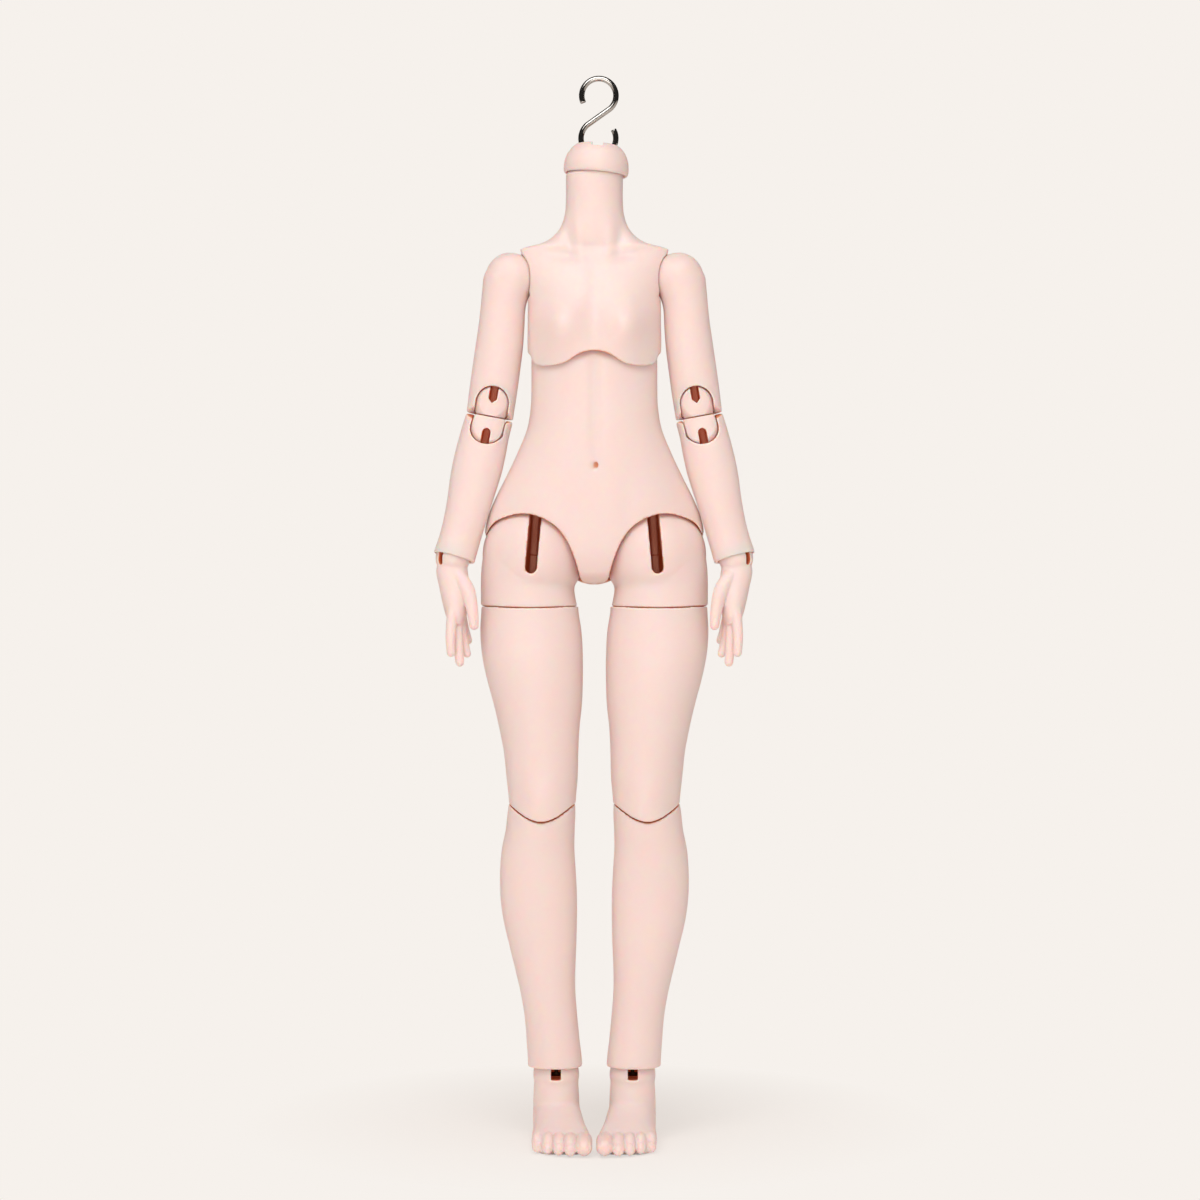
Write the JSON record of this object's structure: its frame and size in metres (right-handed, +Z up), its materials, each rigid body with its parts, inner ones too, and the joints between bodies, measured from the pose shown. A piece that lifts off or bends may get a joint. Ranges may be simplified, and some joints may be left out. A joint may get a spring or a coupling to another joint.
{
  "type": "action figure body",
  "caption": "Headless ball-jointed doll body of satin resin, strung on elastic, standing on its feet, with a steel S-hook rising from a capped neck.",
  "frame": {"origin": "floor level under the middle of the bounding box", "axes": "+Z up along the standing figure, +Y towards its back (it faces -Y), +X towards its left side"},
  "size_m": [0.1136, 0.0554, 0.3797],
  "materials": {
    "resin": "satin cast resin, pale peach",
    "steel": "bright drawn steel wire",
    "elastic": "braided covered elastic, off-white"
  },
  "bodies": {
    "lower_torso": {"lower_torso": "resin", "pelvis_string_R": "elastic", "pelvis_string_L": "elastic"},
    "upper_torso": {"upper_torso": "resin", "chest_string_R": "elastic", "chest_string_L": "elastic", "arm_string_chest": "elastic"},
    "neck_string": {"neck_string": "elastic"},
    "neck_cap": {"neck_cap": "resin"},
    "neck_hook": {"neck_hook": "steel"},
    "shoulder_string_R": {"arm_string_shoulder_R": "elastic"},
    "upper_arm_R": {"upper_arm_R": "resin", "arm_string_upper_R": "elastic"},
    "elbow_upper_R": {"elbow_upper_R": "resin", "arm_string_elbow_R": "elastic"},
    "elbow_lower_R": {"elbow_lower_R": "resin"},
    "forearm_R": {"forearm_R": "resin", "arm_string_fore_R": "elastic"},
    "hand_hook_R": {"hand_hook_R": "steel"},
    "hand_R": {"hand_R": "resin"},
    "hip_string_R": {"hip_string_R": "elastic"},
    "upper_thigh_R": {"upper_thigh_R": "resin", "thigh_string_upper_R": "elastic"},
    "lower_thigh_R": {"lower_thigh_R": "resin", "thigh_string_lower_R": "elastic"},
    "knee_joint_R": {"knee_joint_R": "resin", "knee_string_R": "elastic"},
    "shin_R": {"shin_R": "resin", "shin_string_R": "elastic"},
    "foot_hook_R": {"foot_hook_R": "steel"},
    "foot_R": {"foot_R": "resin"},
    "shoulder_string_L": {"arm_string_shoulder_L": "elastic"},
    "upper_arm_L": {"upper_arm_L": "resin", "arm_string_upper_L": "elastic"},
    "elbow_upper_L": {"elbow_upper_L": "resin", "arm_string_elbow_L": "elastic"},
    "elbow_lower_L": {"elbow_lower_L": "resin"},
    "forearm_L": {"forearm_L": "resin", "arm_string_fore_L": "elastic"},
    "hand_hook_L": {"hand_hook_L": "steel"},
    "hand_L": {"hand_L": "resin"},
    "hip_string_L": {"hip_string_L": "elastic"},
    "upper_thigh_L": {"upper_thigh_L": "resin", "thigh_string_upper_L": "elastic"},
    "lower_thigh_L": {"lower_thigh_L": "resin", "thigh_string_lower_L": "elastic"},
    "knee_joint_L": {"knee_joint_L": "resin", "knee_string_L": "elastic"},
    "shin_L": {"shin_L": "resin", "shin_string_L": "elastic"},
    "foot_hook_L": {"foot_hook_L": "steel"},
    "foot_L": {"foot_L": "resin"}
  },
  "joints": [
    {"name": "waist_lean", "type": "hinge", "parent": "lower_torso", "child": "upper_torso", "pos_m": [0, 0.00148, 0.274], "axis": [1, 0, 0], "range_deg": [-20, 25], "deforming": ["chest_string_R", "chest_string_L", "pelvis_string_R", "pelvis_string_L"]},
    {"name": "neck_swivel", "type": "hinge", "parent": "upper_torso", "child": "neck_string", "pos_m": [0, 0.00388, 0.3379], "axis": [0.0732, 0, 0.9973], "range_deg": [-90, 90]},
    {"name": "neck_tilt", "type": "hinge", "parent": "neck_string", "child": "neck_cap", "pos_m": [0, 0.00388, 0.3379], "axis": [1, 0, 0], "range_deg": [-12, 12]},
    {"name": "hook_pull", "type": "slide", "parent": "neck_cap", "child": "neck_hook", "axis": [0.0732, 0, 0.9973], "range_m": [0, 0.006], "stiffness_N_per_m": 1500, "springref_m": -0.006, "deforming": ["neck_string"]},
    {"name": "shoulder_swing_R", "type": "hinge", "parent": "upper_torso", "child": "shoulder_string_R", "pos_m": [-0.0297, 0.00338, 0.3075], "axis": [-0.9781, 0, -0.2079], "range_deg": [-60, 175], "deforming": ["arm_string_shoulder_R", "arm_string_chest"]},
    {"name": "shoulder_raise_R", "type": "hinge", "parent": "shoulder_string_R", "child": "upper_arm_R", "pos_m": [-0.0297, 0.00338, 0.3075], "axis": [0, 1, 0], "range_deg": [0, 90]},
    {"name": "elbow_upper_bend_R", "type": "hinge", "parent": "upper_arm_R", "child": "elbow_upper_R", "pos_m": [-0.03618, 0.00338, 0.26307], "axis": [-0.9836, 0, 0.1805], "range_deg": [0, 27], "deforming": ["arm_string_upper_R", "arm_string_elbow_R"]},
    {"name": "elbow_turn_R", "type": "hinge", "parent": "elbow_upper_R", "child": "elbow_lower_R", "pos_m": [-0.0379, 0.00338, 0.25373], "axis": [0.1805, 0, 0.9836], "range_deg": [-90, 0]},
    {"name": "elbow_lower_bend_R", "type": "hinge", "parent": "elbow_lower_R", "child": "forearm_R", "pos_m": [-0.0379, 0.00338, 0.25373], "axis": [-0.9836, 0, 0.1805], "range_deg": [0, 27], "deforming": ["arm_string_fore_R"]},
    {"name": "wrist_turn_R", "type": "hinge", "parent": "forearm_R", "child": "hand_hook_R", "pos_m": [-0.05008, -0.00308, 0.20775], "axis": [0.2538, 0.1346, 0.9579], "range_deg": [-90, 90]},
    {"name": "wrist_bend_R", "type": "hinge", "parent": "hand_hook_R", "child": "hand_R", "pos_m": [-0.05008, -0.00308, 0.20775], "axis": [-0.684, 0.7252, 0.0793], "range_deg": [0, 40]},
    {"name": "hip_spread_R", "type": "hinge", "parent": "lower_torso", "child": "hip_string_R", "pos_m": [-0.0216, 0.00338, 0.209], "axis": [0, 1, 0], "range_deg": [0, 7]},
    {"name": "hip_flex_R", "type": "hinge", "parent": "hip_string_R", "child": "upper_thigh_R", "pos_m": [-0.0216, 0.00338, 0.209], "axis": [-1, 0, 0], "range_deg": [-1, 55], "deforming": ["hip_string_R", "thigh_string_upper_R"]},
    {"name": "thigh_swivel_R", "type": "hinge", "parent": "upper_thigh_R", "child": "lower_thigh_R", "pos_m": [-0.0229, 0.00338, 0.191], "axis": [0, 0, 1], "range_deg": [-45, 0]},
    {"name": "knee_upper_R", "type": "hinge", "parent": "lower_thigh_R", "child": "knee_joint_R", "pos_m": [-0.0187, 0.00288, 0.1275], "axis": [1, 0, 0], "range_deg": [0, 55], "deforming": ["thigh_string_lower_R", "knee_string_R"]},
    {"name": "knee_lower_R", "type": "hinge", "parent": "knee_joint_R", "child": "shin_R", "pos_m": [-0.0187, 0.00288, 0.1094], "axis": [1, 0, 0], "range_deg": [0, 55], "deforming": ["shin_string_R"]},
    {"name": "ankle_turn_R", "type": "hinge", "parent": "shin_R", "child": "foot_hook_R", "pos_m": [-0.0136, 0.00488, 0.024], "axis": [0, 0, 1], "range_deg": [-40, 0]},
    {"name": "ankle_flex_R", "type": "hinge", "parent": "foot_hook_R", "child": "foot_R", "pos_m": [-0.0136, 0.00488, 0.024], "axis": [1, 0, 0], "range_deg": [-25, 35]},
    {"name": "shoulder_swing_L", "type": "hinge", "parent": "upper_torso", "child": "shoulder_string_L", "pos_m": [0.0297, 0.00338, 0.3075], "axis": [-0.9781, 0, 0.2079], "range_deg": [-60, 175], "deforming": ["arm_string_shoulder_L"]},
    {"name": "shoulder_raise_L", "type": "hinge", "parent": "shoulder_string_L", "child": "upper_arm_L", "pos_m": [0.0297, 0.00338, 0.3075], "axis": [0, -1, 0], "range_deg": [0, 90]},
    {"name": "elbow_upper_bend_L", "type": "hinge", "parent": "upper_arm_L", "child": "elbow_upper_L", "pos_m": [0.03618, 0.00338, 0.26307], "axis": [-0.9836, 0, -0.1805], "range_deg": [0, 27], "deforming": ["arm_string_upper_L", "arm_string_elbow_L"]},
    {"name": "elbow_turn_L", "type": "hinge", "parent": "elbow_upper_L", "child": "elbow_lower_L", "pos_m": [0.0379, 0.00338, 0.25373], "axis": [0.1805, 0, -0.9836], "range_deg": [-90, 0]},
    {"name": "elbow_lower_bend_L", "type": "hinge", "parent": "elbow_lower_L", "child": "forearm_L", "pos_m": [0.0379, 0.00338, 0.25373], "axis": [-0.9836, 0, -0.1805], "range_deg": [0, 27], "deforming": ["arm_string_fore_L"]},
    {"name": "wrist_turn_L", "type": "hinge", "parent": "forearm_L", "child": "hand_hook_L", "pos_m": [0.05008, -0.00308, 0.20775], "axis": [0.2538, -0.1346, -0.9579], "range_deg": [-90, 90]},
    {"name": "wrist_bend_L", "type": "hinge", "parent": "hand_hook_L", "child": "hand_L", "pos_m": [0.05008, -0.00308, 0.20775], "axis": [-0.684, -0.7252, -0.0793], "range_deg": [0, 40]},
    {"name": "hip_spread_L", "type": "hinge", "parent": "lower_torso", "child": "hip_string_L", "pos_m": [0.0216, 0.00338, 0.209], "axis": [0, -1, 0], "range_deg": [0, 7]},
    {"name": "hip_flex_L", "type": "hinge", "parent": "hip_string_L", "child": "upper_thigh_L", "pos_m": [0.0216, 0.00338, 0.209], "axis": [-1, 0, 0], "range_deg": [-1, 55], "deforming": ["hip_string_L", "thigh_string_upper_L"]},
    {"name": "thigh_swivel_L", "type": "hinge", "parent": "upper_thigh_L", "child": "lower_thigh_L", "pos_m": [0.0229, 0.00338, 0.191], "axis": [0, 0, -1], "range_deg": [-45, 0]},
    {"name": "knee_upper_L", "type": "hinge", "parent": "lower_thigh_L", "child": "knee_joint_L", "pos_m": [0.0187, 0.00288, 0.1275], "axis": [1, 0, 0], "range_deg": [0, 55], "deforming": ["thigh_string_lower_L", "knee_string_L"]},
    {"name": "knee_lower_L", "type": "hinge", "parent": "knee_joint_L", "child": "shin_L", "pos_m": [0.0187, 0.00288, 0.1094], "axis": [1, 0, 0], "range_deg": [0, 55], "deforming": ["shin_string_L"]},
    {"name": "ankle_turn_L", "type": "hinge", "parent": "shin_L", "child": "foot_hook_L", "pos_m": [0.0136, 0.00488, 0.024], "axis": [0, 0, -1], "range_deg": [-40, 0]},
    {"name": "ankle_flex_L", "type": "hinge", "parent": "foot_hook_L", "child": "foot_L", "pos_m": [0.0136, 0.00488, 0.024], "axis": [1, 0, 0], "range_deg": [-25, 35]}
  ]
}
